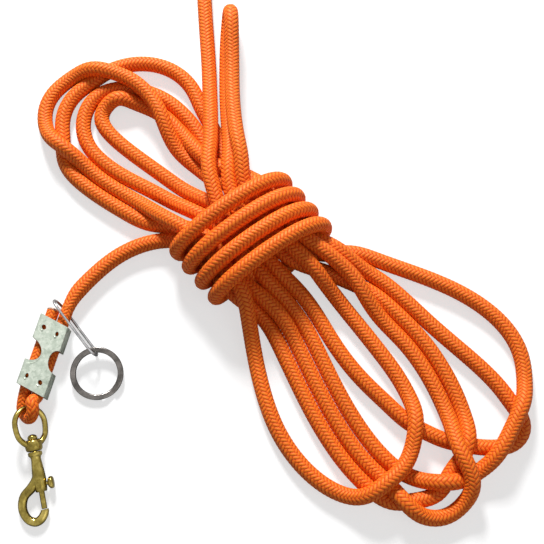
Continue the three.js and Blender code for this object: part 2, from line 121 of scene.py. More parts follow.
def at_wraps(end, side, up, out=FIT_GAP):
    """A point on one end of the wraps: end -1 is the upper fan's, +1 the lower fan's."""
    return in_wraps(end * (WRAPS_LENGTH / 2 + out), side, up)


STANDING_END = at_clamp(STRAND_SIDE, CLAMP_LENGTH / 2 + STANDING_OUT, CLAMP_THICKNESS / 2)

SPLICE_OVERLAP = 1.5

# The stretches that aren't in the hank follow the CAD's routes
TAIL = [
    STANDING_END - ALONG * SPLICE_OVERLAP,
    STANDING_END + ALONG * 4 - UP * 0.2,
    (22.2, 52.3, 5.2),
    (27, 57.5, 4.7),
    (35, 65.5, 4.65),
    (46, 73.5, 4.65),
    (58, 78.5, 4.8),
    (68, 80.5, 5.4),
    at_wraps(-1, -31, 6.6, 6),
]
BIGHT = [
    (106.5, 120, 22.8),
    (106, 132, 18.5),
    (104.8, 147, 13),
    (103.5, 165, 8),
    (103, 185, 5),
    (103, 200, 4.65),
    (103.5, 212, 4.65),
    (104.3, 220.5, 7),
    (104.9, 223, 12),
    (105.6, 220, 17),
    (106, 212, 18),
    (106.2, 200, 15.6),
    (106.5, 185, 14.8),
    (107, 165, 17.8),
    (108.5, 147, 22.5),
    (111, 130, 27.5),
]
LEAD = [
    (94, 118, 24),
    (95, 134, 20),
    (94.5, 150, 15),
    (93.5, 168, 9.5),
    (92.5, 187, 5.6),
    (91, 206, 4.65),
    (89, 233, 4.65),
    (88, 255, 4.65),
    (87.5, 270, 6),
    (87.5, 283, 10),
    (87.5, 290, 10),
]

# Bights of the lower fan, from their left strand to their right one
LOWER = {
    "A": [
        (117, 36, 19), (120, 14, 14), (125, -8, 10), (132, -28, 8), (144, -46, 8),
        (160, -60, 10), (176, -66, 14), (192, -61, 17), (204, -48, 18), (209, -31, 18),
        (208, -14, 18), (202, 0, 19), (192, 13, 19), (180, 29, 20), (166, 47, 21),
        (153, 64, 22),
    ],
    "B": [
        (126, 38, 12), (137, 13, 8), (145, -2, 6), (153, -16, 5), (162, -32, 5),
        (173, -48, 5), (184, -58, 5), (198, -65, 5), (214, -67, 6), (227, -60, 9),
        (234, -46, 13), (236, -27, 13), (230, -6, 7), (217, 18, 5), (200, 37, 6),
        (178, 54, 9),
    ],
    "C": [
        (142, 31, 13), (148, 14, 12), (155, -4, 11), (163, -22, 11), (171, -37, 11),
        (181, -51, 11), (193, -63, 12), (206, -73, 10), (220, -78, 6), (231, -72, 9),
        (237, -58, 17), (236, -42, 22), (231, -25, 21), (223, -7, 17), (212, 13, 15),
        (199, 30, 15), (185, 48, 16), (169, 67, 18),
    ],
    "D": [
        (152, 40, 10), (166, 17, 5), (178, 1, 5), (191, -11, 5), (204, -22, 5),
        (217, -31, 5), (230, -36, 6), (244, -40, 6), (258, -39, 7), (268, -32, 7),
        (270, -21, 8), (260, -8, 10), (247, 6, 11), (230, 21, 11), (212, 37, 11),
        (193, 54, 12), (175, 69, 13),
    ],
    "E": [
        (144, 38, 10), (152, 20, 5), (163, -4, 5), (175, -23, 5), (187, -40, 5),
        (199, -51, 5), (214, -58, 13), (230, -58, 14), (245, -50, 12), (256, -36, 13),
        (263, -22, 14), (269, -9, 9), (271, 3, 5), (270, 16, 5), (263, 29, 5),
        (252, 40, 5), (237, 50, 5), (219, 58, 5), (199, 65, 6), (177, 72, 10),
    ],
}

# Bights of the upper fan, from their left strand to their right one
UPPER = {
    "A": [
        (70, 89, 18), (53, 101, 14), (34, 113, 13), (19, 124, 13), (6, 135, 13),
        (-4, 147, 13), (-7, 158, 12), (-4, 169, 12), (4, 178, 13), (15, 184, 14),
        (28, 185, 14), (42, 181, 14), (55, 173, 14), (65, 162, 14), (74, 148, 14),
        (84, 133, 14), (96, 117, 13),
    ],
    "B": [
        (69, 84, 11), (57, 92, 6), (43, 101, 5), (27, 110, 5), (14, 122, 5),
        (6, 136, 5), (4, 152, 5), (9, 168, 5), (20, 180, 5), (34, 188, 5),
        (50, 192, 5), (66, 190, 5), (80, 181, 5), (89, 167, 5), (94, 150, 5),
        (98, 132, 7),
    ],
    "C": [
        (76, 101, 12), (60, 111, 6), (44, 118, 5), (30, 127, 5), (20, 138, 5),
        (16, 151, 5), (20, 163, 5), (31, 171, 5), (45, 173, 5), (59, 168, 5),
        (72, 157, 5), (84, 143, 5), (98, 125, 8),
    ],
    "D": [
        (84, 106, 15), (69, 118, 12), (54, 129, 11), (41, 139, 12), (31, 149, 14),
        (27, 161, 15), (33, 171, 15), (46, 174, 14), (59, 167, 14), (69, 156, 14),
        (80, 142, 14), (91, 127, 14),
    ],
}

# Strands of the waist, across it and up, in two layers
LAYER_UP = (13.5, 21.3)
LOW = [(9.0 * (slot - 3), LAYER_UP[0]) for slot in range(7)]
HIGH = [(9.0 * (slot - 2.5), LAYER_UP[1]) for slot in range(6)]

# Order in which the rope is laid: a strand down the waist, a lower bight, a strand up, and an
# upper bight from its right strand to its left one
LAID = [
    (LOW[0], "B", LOW[4], "B"),
    (LOW[1], "C", HIGH[5], "D"),
    (LOW[3], "D", LOW[6], "C"),
    (LOW[2], "E", LOW[5], "A"),
    (HIGH[0], "A", HIGH[4], None),
]

# The wraps: a turn's outline across the waist and up, first over the top and then back under it
WRAP_TURNS = 4
WRAP_PITCH = 11.5
WRAP_SLANT = 9.0
WRAP_BOW = 2.5
WRAP_FIRST = -21.5
WRAP_OVER = [
    (-37.5, 13), (-36, 19), (-31, 25.5), (-23, 30.5), (-12, 33.2), (0, 34), (12, 33.2),
    (23, 30.5), (31, 26), (36, 20), (37.5, 13.5),
]
WRAP_UNDER = [(35, 7.3), (29, 4.8), (15, 4.55), (0, 4.55), (-15, 4.55), (-29, 4.8), (-35, 7.3)]


# Inside the wraps the rope drops from the bight to the first turn's underside, and rises from
# the last one's to the lead
INTO_WRAPS = [(-14, 4.5, 21.5), (-5, 0, 15), (-7, -11, 6.5), (-13, -22, 4.6), (-18, -32, 6.5)]
OUT_OF_WRAPS = [(22, -11, 7), (13, -14, 13), (0, -9, 20), (-14, -6, 22)]
LAST_TURN_SHORT = 3


def strand(slot, direction):
    """A strand through the waist, towards the lower fan at +1 and the upper one at -1."""
    side, up = slot
    return [in_wraps(direction * along, side, up) for along in (-21, -7, 7, 21)]


def wraps():
    """Turns from the upper end of the waist to the lower one."""
    points = []
    for turn in range(WRAP_TURNS):
        first = WRAP_FIRST + WRAP_PITCH * turn
        for step, (side, up) in enumerate(WRAP_OVER):
            share = step / (len(WRAP_OVER) - 1)
            along = first + WRAP_SLANT * share - WRAP_BOW * math.sin(math.pi * share)
            points.append(in_wraps(along, side, up))
        for step, (side, up) in enumerate(WRAP_UNDER):
            share = (step + 1) / (len(WRAP_UNDER) + 1)
            along = first + WRAP_SLANT + (WRAP_PITCH - WRAP_SLANT) * share
            points.append(in_wraps(along, side, up))
    return points


def near_wraps(point):
    return np.dot(np.array(point) - WRAPS_MIDDLE, WRAPS_AXIS) > -WRAPS_LENGTH / 2 - 22


def rope_points():
    """The whole route as control points, and a weight for each that holds it to its place."""
    points = [(p, 1) for p in TAIL]
    for down, lower, rising, upper in LAID:
        points += [(p, 0.6) for p in strand(down, 1)]
        points += [(p, 0) for p in LOWER[lower]]
        points += [(p, 0.6) for p in strand(rising, -1)]
        if upper:
            points += [(p, 0) for p in reversed(UPPER[upper])]
    points += [(p, 0.4 if near_wraps(p) else 1) for p in reversed(BIGHT)]
    points += [(in_wraps(*place), 0.3) for place in INTO_WRAPS]
    points += [(p, 0.9) for p in wraps()[:-LAST_TURN_SHORT]]
    points += [(in_wraps(*place), 0.3) for place in OUT_OF_WRAPS]
    points += [(p, 0.4 if near_wraps(p) else 1) for p in LEAD]
    return np.array([p for p, _ in points], float), np.array([w for _, w in points])


def smooth_through(points, spacing, extra=None):
    """Points a given distance apart on a centripetal Catmull-Rom curve through the given ones.
    Extra is a value for each given point, returned for the new ones too."""
    knots = np.concatenate([[0], np.cumsum(np.linalg.norm(np.diff(points, axis=0), axis=1) ** 0.5)])
    ends = [2 * points[0] - points[1], 2 * points[-1] - points[-2]]
    full = np.vstack([ends[0], points, ends[1]])
    outer = np.concatenate([[2 * knots[0] - knots[1]], knots, [2 * knots[-1] - knots[-2]]])
    fine = []
    where = []
    for i in range(len(points) - 1):
        t0, t1, t2, t3 = outer[i : i + 4]
        p0, p1, p2, p3 = full[i : i + 4]
        t = np.linspace(t1, t2, 24, endpoint=False)[:, None]
        a1 = (t1 - t) / (t1 - t0) * p0 + (t - t0) / (t1 - t0) * p1
        a2 = (t2 - t) / (t2 - t1) * p1 + (t - t1) / (t2 - t1) * p2
        a3 = (t3 - t) / (t3 - t2) * p2 + (t - t2) / (t3 - t2) * p3
        b1 = (t2 - t) / (t2 - t0) * a1 + (t - t0) / (t2 - t0) * a2
        b2 = (t3 - t) / (t3 - t1) * a2 + (t - t1) / (t3 - t1) * a3
        fine.append((t2 - t) / (t2 - t1) * b1 + (t - t1) / (t2 - t1) * b2)
        where.append(i + (t[:, 0] - t1) / (t2 - t1))
    fine = np.vstack(fine + [points[-1:]])
    where = np.concatenate(where + [[len(points) - 1]])
    run = np.concatenate([[0], np.cumsum(np.linalg.norm(np.diff(fine, axis=0), axis=1))])
    count = max(2, int(round(run[-1] / spacing)) + 1)
    at = np.linspace(0, run[-1], count)
    new = np.stack([np.interp(at, run, fine[:, k]) for k in range(3)], axis=1)
    if extra is None:
        return new
    return new, np.interp(np.interp(at, run, where), np.arange(len(points)), extra)


BEAD_SPACING = 4.5
RELAX_STEPS = 420
NEIGHBOUR_STEPS = 8
NEIGHBOUR_REACH = 14
FLOOR_UP = ROPE_DIAMETER / 2 + FLOOR_GAP


def relax(beads, hold):
    """Settles the rope: it keeps its length, bends smoothly, sinks, and lies on itself and the floor."""
    start = beads.copy()
    count = len(beads)
    free = (1 - hold)[:, None]
    index = np.arange(count)
    ordered = index[None, :] - index[:, None] >= 5
    rest = np.linalg.norm(np.diff(beads, axis=0), axis=1)[:, None]
    for step in range(RELAX_STEPS):
        late = step / RELAX_STEPS
        if step % NEIGHBOUR_STEPS == 0:
            distance = np.linalg.norm(beads[:, None, :] - beads[None, :, :], axis=2)
            one, other = np.nonzero(ordered & (distance < NEIGHBOUR_REACH))
        beads[:, 2:] -= 0.12 * free
        beads[:, :2] += (0.03 + 0.3 * hold[:, None]) * (start[:, :2] - beads[:, :2])
        beads[:, 2:] += 0.3 * hold[:, None] * (start[:, 2:] - beads[:, 2:])
        middle = 0.5 * (beads[:-2] + beads[2:])
        beads[1:-1] += 0.25 * free[1:-1] * (middle - beads[1:-1])
        for _ in range(3):
            between = np.diff(beads, axis=0)
            length = np.linalg.norm(between, axis=1, keepdims=True)
            pull = 0.5 * between * (1 - rest / length)
            beads[:-1] += pull * free[:-1]
            beads[1:] -= pull * free[1:]
        offset = beads[one] - beads[other]
        distance = np.linalg.norm(offset, axis=1) + 1e-9
        depth = np.maximum(ROPE_DIAMETER - distance, 0)
        shove = offset * (depth / distance)[:, None]
        push = np.zeros_like(beads)
        touching = np.zeros(count)
        for rows, sign in ((one, 1), (other, -1)):
            np.add.at(push, rows, sign * shove)
            np.add.at(touching, rows, depth > 0)
        push *= (0.6 + 0.6 * late) * (1 - 0.8 * hold[:, None])
        beads += 0.6 * push / np.maximum(touching, 1)[:, None]
        beads[:, 2] = np.maximum(beads[:, 2], FLOOR_UP)
    return beads


def soften(points, passes=3):
    """Takes small kinks out of a row of points, and keeps its ends."""
    points = points.copy()
    for _ in range(passes):
        points[1:-1] += 0.5 * (0.5 * (points[:-2] + points[2:]) - points[1:-1])
    return points


control, holding = rope_points()
beads, bead_hold = smooth_through(control, BEAD_SPACING, holding)
beads = relax(beads, bead_hold)
MESH_SPACING = 0.65
centre = smooth_through(soften(beads), MESH_SPACING)

# --------------------------------------------------------------------------------------------
# Materials
# --------------------------------------------------------------------------------------------


class Nodes:
    """A material's node tree, with short calls to add nodes and join them."""

    def __init__(self, name):
        self.material = bpy.data.materials.new(name)
        self.material.use_nodes = True
        self.tree = self.material.node_tree
        self.shader = self.tree.nodes["Principled BSDF"]

    def set(self, **values):
        for key, value in values.items():
            self.shader.inputs[key.replace("_", " ")].default_value = value

    def link(self, value, socket):
        if isinstance(value, bpy.types.NodeSocket):
            self.tree.links.new(value, socket)
        else:
            socket.default_value = value

    def math(self, operation, a, b=0.0, c=0.0):
        node = self.tree.nodes.new("ShaderNodeMath")
        node.operation = operation
        for socket, value in zip(node.inputs, (a, b, c)):
            self.link(value, socket)
        return node.outputs[0]

    def choose(self, factor, a, b):
        return self.math("MULTIPLY_ADD", self.math("SUBTRACT", b, a), factor, a)

    def dome(self, value, scale):
        """1 in the middle of a stretch of 1 / scale, down to 0 at its ends."""
        off = self.math("MULTIPLY_ADD", value, 2 * scale, -1)
        return self.math("MAXIMUM", self.math("SUBTRACT", 1, self.math("MULTIPLY", off, off)), 0)

    def coordinates(self, kind="Object"):
        return self.tree.nodes.new("ShaderNodeTexCoord").outputs[kind]

    def noise(self, vector, scale, detail=2.0, roughness=0.5):
        node = self.tree.nodes.new("ShaderNodeTexNoise")
        self.link(vector, node.inputs["Vector"])
        node.inputs["Scale"].default_value = scale
        node.inputs["Detail"].default_value = detail
        node.inputs["Roughness"].default_value = roughness
        return node.outputs["Fac"]

    def voronoi(self, vector, scale, feature="F1"):
        node = self.tree.nodes.new("ShaderNodeTexVoronoi")
        node.feature = feature
        self.link(vector, node.inputs["Vector"])
        node.inputs["Scale"].default_value = scale
        return node.outputs["Distance"], node.outputs["Color"]

    def stretched(self, vector, scale):
        node = self.tree.nodes.new("ShaderNodeMapping")
        self.link(vector, node.inputs["Vector"])
        node.inputs["Scale"].default_value = scale
        return node.outputs[0]

    def ramp(self, value, stops):
        node = self.tree.nodes.new("ShaderNodeValToRGB")
        self.link(value, node.inputs[0])
        elements = node.color_ramp.elements
        while len(elements) < len(stops):
            elements.new(0.5)
        for element, (position, colour) in zip(elements, stops):
            element.position = position
            element.color = (*colour, 1) if hasattr(colour, "__len__") else (colour,) * 3 + (1,)
        return node.outputs[0]

    def mix(self, factor, a, b, kind="MIX"):
        node = self.tree.nodes.new("ShaderNodeMix")
        node.data_type = "RGBA"
        node.blend_type = kind
        self.link(factor, node.inputs[0])
        for socket, value in ((node.inputs[6], a), (node.inputs[7], b)):
            self.link(value if isinstance(value, bpy.types.NodeSocket) else (*value, 1), socket)
        return node.outputs[2]

    def bump(self, height, strength, distance, normal=None):
        node = self.tree.nodes.new("ShaderNodeBump")
        self.link(height, node.inputs["Height"])
        node.inputs["Strength"].default_value = strength
        node.inputs["Distance"].default_value = distance
        if normal is not None:
            self.link(normal, node.inputs["Normal"])
        return node.outputs[0]

    def out(self, colour=None, roughness=None, normal=None):
        for value, name in ((colour, "Base Color"), (roughness, "Roughness"), (normal, "Normal")):
            if value is not None:
                self.link(value, self.shader.inputs[name])
        return self.material


CELL_LENGTH = 2.3
CELLS_AROUND = 8


def braid_material(name):
    """Braid drawn from the UV map: U in cells along the rope, V in cells around it. Its colour has painted shade in
    the gaps between strands and a painted highlight on their tops.
    """
    n = Nodes(name)
    uv = n.tree.nodes.new("ShaderNodeSeparateXYZ")
    n.link(n.coordinates("UV"), uv.inputs[0])
    one = n.math("ADD", uv.outputs[0], uv.outputs[1])
    other = n.math("SUBTRACT", uv.outputs[0], uv.outputs[1])
    within_one, within_other = n.math("FRACT", one), n.math("FRACT", other)
    column = n.math("SUBTRACT", n.math("FLOOR", one), n.math("FLOOR", other))
    column = n.math("FLOORED_MODULO", column, 4)
    second = n.math("GREATER_THAN", column, 1.5)
    width = n.choose(second, within_other, within_one)
    run = n.choose(second, n.math("ADD", column, within_one),
                   n.math("SUBTRACT", n.math("ADD", within_other, 3), column))
    across = n.math("POWER", n.dome(width, 1), 0.6)
    lengthwise = n.math("MULTIPLY_ADD", n.math("SQRT", n.dome(run, 0.5)), 0.65, 0.35)
    height = n.math("MULTIPLY", across, lengthwise)
    place = n.coordinates("Object")
    patches = n.noise(place, 28, 3)
    fibre = n.noise(n.stretched(n.coordinates("UV"), (9, 3, 1)), 4, 2)
    # Painted shade: the colour darkens to deep red down into the gaps between strands, and a painted highlight makes
    # the strands' tops a lighter orange
    colour = n.ramp(height, [(0.0, (0.32, 0.008, 0.0002)), (0.2, (0.68, 0.045, 0.001)),
                             (0.5, (0.96, 0.15, 0.003)), (1.0, (1.0, 0.24, 0.01))])
    tint = n.ramp(patches, [(0.3, (0.9, 0.86, 0.8)), (0.7, (1, 1, 1))])
    colour = n.mix(1.0, colour, tint, "MULTIPLY")
    thread = n.ramp(fibre, [(0.3, (0.88, 0.84, 0.8)), (0.7, (1, 1, 1))])
    colour = n.mix(0.6, colour, thread, "MULTIPLY")
    rough = n.ramp(height, [(0.0, 0.9), (1.0, 0.5)])
    normal = n.bump(height, 0.7, 0.0004)
    normal = n.bump(fibre, 0.25, 0.0001, normal)
    n.set(Sheen_Weight=0.05, Sheen_Roughness=0.4, Specular_IOR_Level=0.35)
    n.shader.inputs["Sheen Tint"].default_value = (1, 0.55, 0.25, 1)
    return n.out(colour, rough, normal)


rope_material = braid_material("rope")

# --------------------------------------------------------------------------------------------
# Meshes
# --------------------------------------------------------------------------------------------


def mesh_object(name, vertices, quads, material, uv=None, smooth=True):
    """A mesh object from arrays: vertices in metres and four-sided faces."""
    mesh = bpy.data.meshes.new(name)
    mesh.vertices.add(len(vertices))
    mesh.vertices.foreach_set("co", np.asarray(vertices, np.float32).ravel())
    quads = np.asarray(quads, np.int32)
    mesh.loops.add(quads.size)
    mesh.loops.foreach_set("vertex_index", quads.ravel())
    mesh.polygons.add(len(quads))
    mesh.polygons.foreach_set("loop_start", np.arange(0, quads.size, 4, dtype=np.int32))
    if uv is not None:
        mesh.uv_layers.new(name="UVMap").data.foreach_set("uv", np.asarray(uv, np.float32).ravel())
    mesh.update(calc_edges=True)
    mesh.validate()
    mesh.polygons.foreach_set("use_smooth", np.full(len(quads), smooth))
    mesh.materials.append(material)
    piece = bpy.data.objects.new(name, mesh)
    bpy.context.scene.collection.objects.link(piece)
    return piece


def frames_along(path):
    """For each point of a path, two directions across it that turn as little as they can."""
    tangents = np.gradient(path, axis=0)
    tangents /= np.linalg.norm(tangents, axis=1, keepdims=True)
    side = np.cross(tangents[0], (0.3, 0.2, 1))
    sides = []
    for tangent in tangents:
        side = side - tangent * side.dot(tangent)
        side = side / np.linalg.norm(side)
        sides.append(side)
    sides = np.array(sides)
    return tangents, sides, np.cross(tangents, sides)


def braid_height(along, around):
    """The braid's height, 0 to 1, at places in cells along and around the rope. Each strand
    passes over two others and under two, so its floats stand in slanting columns."""
    one, other = along + around, along - around
    column = np.mod(np.floor(one) - np.floor(other), 4)
    within_one, within_other = np.mod(one, 1), np.mod(other, 1)
    second = column > 1.5
    width = np.where(second, within_one, within_other)
    run = np.where(second, 3 - column + within_other, column + within_one) / 2
    return (1 - (2 * width - 1) ** 2) ** 0.6 * (0.35 + 0.65 * np.sqrt(1 - (2 * run - 1) ** 2))


def braided(name, path, diameters, material, sides=54, relief=0.28, cap=1.0):
    """A braided tube along a path in millimetres. Its ends are closed."""
    tangents, left, up = frames_along(path)
    step = np.linalg.norm(np.diff(path, axis=0), axis=1)
    run = np.concatenate([[0], np.cumsum(step)]) / CELL_LENGTH
    radii = np.broadcast_to(np.asarray(diameters, float) / 2, len(path)).copy()
    turn = np.arange(sides) / sides
    height = braid_height(run[:, None], turn[None, :] * CELLS_AROUND)
    radius = radii[:, None] - relief * (1 - height)
    angle = 2 * math.pi * turn
    ring = np.cos(angle)[None, :, None] * left[:, None, :] + np.sin(angle)[None, :, None] * up[:, None, :]
    rows = path[:, None, :] + ring * radius[:, :, None]
    bands = [rows]
    ends = []
    for index, sign in ((0, -1), (-1, 1)):
        inward = []
        for share in (0.92, 0.7, 0.4, 0.02):
            out = sign * cap * math.sqrt(1 - share**2) * tangents[index]
            inward.append(path[index] + out + (rows[index] - path[index]) * share)
        ends.append(np.array(inward))
    grid = np.concatenate([ends[0][::-1], rows, ends[1]])
    count = len(grid)
    along = np.concatenate([np.full(4, run[0]), run, np.full(4, run[-1])])
    i, j = np.meshgrid(np.arange(count - 1), np.arange(sides), indexing="ij")
    k = (j + 1) % sides
    quads = np.stack([i * sides + j, i * sides + k, (i + 1) * sides + k, (i + 1) * sides + j], axis=-1)
    around = CELLS_AROUND / sides
    uv = np.stack([
        np.stack([along[i], j * around], -1), np.stack([along[i], (j + 1) * around], -1),
        np.stack([along[i + 1], (j + 1) * around], -1), np.stack([along[i + 1], j * around], -1),
    ], axis=2)
    return mesh_object(name, grid.reshape(-1, 3) * MM, quads.reshape(-1, 4), material, uv)


TAPER = 14
along_rope = np.concatenate([[0], np.cumsum(np.linalg.norm(np.diff(centre, axis=0), axis=1))])
grown = np.clip(along_rope / TAPER, 0, 1)
grown = grown * grown * (3 - 2 * grown)
rope = braided("rope", centre, STRAND_DIAMETER + (ROPE_DIAMETER - STRAND_DIAMETER) * grown,
               rope_material, cap=0.05)
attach(rope, "leash")
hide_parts("rope_tail", "hank_wraps", "hank_upper_fan", "hank_lower_fan", "hank_bight",
            "rope_lead")
# --------------------------------------------------------------------------------------------
# Hardware, in millimetres in the frames that the joints give
# --------------------------------------------------------------------------------------------

joints = {joint["name"]: joint for joint in frame["joints"]}
HINGE = Vector(joints["eye_swing"]["pos_m"]) / MM
EYE_ROLL = math.radians(35)


def axes_matrix(x, y, z, origin):
    matrix = Matrix((x, y, z)).transposed().to_4x4()
    matrix.translation = origin
    return matrix


def snap_matrix():
    """The snap's frame: origin on the eye's top wire, +Y towards the rope, Z up."""
    y = Vector(joints["snap_swivel"]["axis"]).normalized()
    x = y.cross(Vector((0, 0, 1))).normalized()
    return axes_matrix(x, y, x.cross(y), HINGE)


SNAP = snap_matrix()
EYE = SNAP @ Matrix.Rotation(EYE_ROLL, 4, "Y")
CLAMP = axes_matrix(Vector(ACROSS), Vector(ALONG), Vector((0, 0, 1)), Vector(at_clamp(0, 0, 0)))


def placed(points, matrix):
    """Points in millimetres, moved by a frame's matrix."""
    m = np.array(matrix)
    return np.asarray(points, float) @ m[:3, :3].T + m[:3, 3]


def lathe(name, profile, material, matrix, sides=48, axis="Y"):
    """A body turned about Y, or X, from a profile of [radius, place along the axis]."""
    profile = np.array(profile, float)
    angle = 2 * math.pi * np.arange(sides) / sides
    radius, along = profile[:, 0][:, None], profile[:, 1][:, None]
    first, second = radius * np.cos(angle), radius * np.sin(angle)
    level = np.broadcast_to(along, first.shape)
    order = (first, level, -second) if axis == "Y" else (level, first, second)
    points = placed(np.stack(order, -1).reshape(-1, 3), matrix)
    return grid_object(name, points, len(profile), sides, material)


def grid_object(name, points, rows, sides, material, closed=False):
    """An object from rows of points around a loop, joined up and capped."""
    i, j = np.meshgrid(np.arange(rows if closed else rows - 1), np.arange(sides), indexing="ij")
    k = (j + 1) % sides
    nexts = (i + 1) % rows
    quads = np.stack([i * sides + j, i * sides + k, nexts * sides + k, nexts * sides + j], -1)
    piece = mesh_object(name, points * MM, quads.reshape(-1, 4), material)
    tidy(piece)
    return piece


def tidy(piece, weld=1e-6):
    """Welds a mesh, closes its ends and turns its faces outwards."""
    work = bmesh.new()
    work.from_mesh(piece.data)
    bmesh.ops.remove_doubles(work, verts=work.verts, dist=weld)
    bmesh.ops.holes_fill(work, edges=[e for e in work.edges if e.is_boundary], sides=0)
    bmesh.ops.recalc_face_normals(work, faces=work.faces)
    work.to_mesh(piece.data)
    work.free()


def swept(name, points, radii, material, matrix, sides=24, spacing=0.35, flat=1.0):
    """A round or flattened bar along a smooth curve, with a radius for each given point."""
    path, radius = smooth_through(placed(points, matrix), spacing, np.broadcast_to(radii, len(points)))
    _, left, up = frames_along(path)
    angle = 2 * math.pi * np.arange(sides) / sides
    ring = np.cos(angle)[None, :, None] * left[:, None] + flat * np.sin(angle)[None, :, None] * up[:, None]
    rows = path[:, None] + ring * radius[:, None, None]
    return grid_object(name, rows.reshape(-1, 3), len(path), sides, material)


def boolean(piece, cutters, operation="DIFFERENCE"):
    """Cuts the cutters out of a piece, or joins them to it."""
    for cutter in cutters:
        modifier = piece.modifiers.new("cut", "BOOLEAN")
        modifier.operation = operation
        modifier.solver = "EXACT"
        modifier.object = cutter
    bake_modifiers(piece)
    for cutter in cutters:
        bpy.data.objects.remove(cutter)


def bake_modifiers(piece):
    graph = bpy.context.evaluated_depsgraph_get()
    mesh = bpy.data.meshes.new_from_object(piece.evaluated_get(graph))
    piece.modifiers.clear()
    piece.data = mesh


def round_edges(piece, width, segments=2, angle=35):
    bevel = piece.modifiers.new("bevel", "BEVEL")
    bevel.width = width * MM
    bevel.segments = segments
    bevel.limit_method = "ANGLE"
    bevel.angle_limit = math.radians(angle)
    bake_modifiers(piece)
    smooth_faces(piece)


def smooth_faces(piece, angle=40):
    piece.data.polygons.foreach_set("use_smooth", np.ones(len(piece.data.polygons), bool))
    piece.data.set_sharp_from_angle(angle=math.radians(angle))


def prism(name, outline, low, high, material, matrix):
    """An upright body on an outline of (x, y) points."""
    outline = np.array(outline, float)
    rows = [np.column_stack([outline, np.full(len(outline), z)]) for z in (low, high)]
    return grid_object(name, placed(np.vstack(rows), matrix), 2, len(outline), material)


def oval(x, y, width, height, steps=40):
    angle = 2 * math.pi * np.arange(steps) / steps
    return np.column_stack([x + width * np.cos(angle), y + height * np.sin(angle)])


def rounded_box(width, height, corner, steps=8):
    """Outline of a rectangle with round corners."""
    points = []
    for turn, (sx, sy) in enumerate(((1, 1), (-1, 1), (-1, -1), (1, -1))):
        for step in range(steps + 1):
            angle = (turn + step / steps) * math.pi / 2
            points.append((sx * (width / 2 - corner) + corner * math.cos(angle),
                           sy * (height / 2 - corner) + corner * math.sin(angle)))
    return points


def finish_piece(piece, body, slot, *nodes):
    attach(piece, body)
    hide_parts(*nodes)


def brass_material():
    n = Nodes("brass")
    place = n.coordinates("Object")
    cloud = n.noise(place, 140, 4, 0.6)
    speck = n.noise(place, 900, 3, 0.6)
    colour = n.ramp(cloud, [(0.3, (0.15, 0.11, 0.025)), (0.5, (0.31, 0.24, 0.055)),
                            (0.66, (0.52, 0.41, 0.12))])
    dirt = n.ramp(speck, [(0.35, (0.6, 0.55, 0.45)), (0.6, (1, 1, 1))])
    colour = n.mix(0.5, colour, dirt, "MULTIPLY")
    rough = n.ramp(cloud, [(0.3, 0.27), (0.7, 0.15)])
    n.set(Metallic=1.0)
    return n.out(colour, rough, n.bump(speck, 0.05, 0.0001))


def zinc_material():
    n = Nodes("zinc_steel")
    place = n.coordinates("Object")
    _, grains = n.voronoi(place, 650)
    cloud = n.noise(place, 260, 4, 0.6)
    tone = n.math("MULTIPLY_ADD", grains, 0.25, n.math("MULTIPLY", cloud, 0.75))
    colour = n.ramp(tone, [(0.3, (0.34, 0.39, 0.32)), (0.5, (0.50, 0.56, 0.47)),
                           (0.68, (0.70, 0.75, 0.65))])
    rough = n.ramp(tone, [(0.3, 0.5), (0.7, 0.34)])
    n.set(Metallic=0.6)
    return n.out(colour, rough, n.bump(cloud, 0.3, 0.0002))


def dark_steel_material(name, low, high, roughness):
    n = Nodes(name)
    place = n.coordinates("Object")
    cloud = n.noise(place, 170, 4, 0.6)
    scratches = n.noise(n.stretched(place, (1, 1, 12)), 700, 2)
    colour = n.ramp(cloud, [(0.3, low), (0.7, high)])
    rough = n.ramp(scratches, [(0.3, roughness - 0.06), (0.7, roughness + 0.1)])
    n.set(Metallic=1.0)
    return n.out(colour, rough, n.bump(scratches, 0.1, 0.0001))


brass = brass_material()
zinc = zinc_material()
ring_steel = dark_steel_material("ring_steel", (0.07, 0.066, 0.06), (0.24, 0.22, 0.205), 0.22)
link_steel = dark_steel_material("link_steel", (0.26, 0.26, 0.27), (0.55, 0.55, 0.55), 0.25)
spring_steel = dark_steel_material("spring_steel", (0.25, 0.25, 0.25), (0.45, 0.45, 0.44), 0.3)

PLATE = 1.2
CLAMP_WIDTH = 2 * STRAND_DIAMETER + 3 * FIT_GAP + 2 * PLATE
CLAMP_CORNER = 2.2
CLAMP_SKEW = math.tan(math.radians(12))
PUNCH_RADIUS = 1.35
PUNCHES = [(side * 4.1, end * (CLAMP_LENGTH / 2 - 6.2)) for end in (-1, 1) for side in (-1, 1)]
NOTCHES = {-1: 8.2, 1: 4.6}
SEAM_AT, SEAM_WIDTH = -5, 1


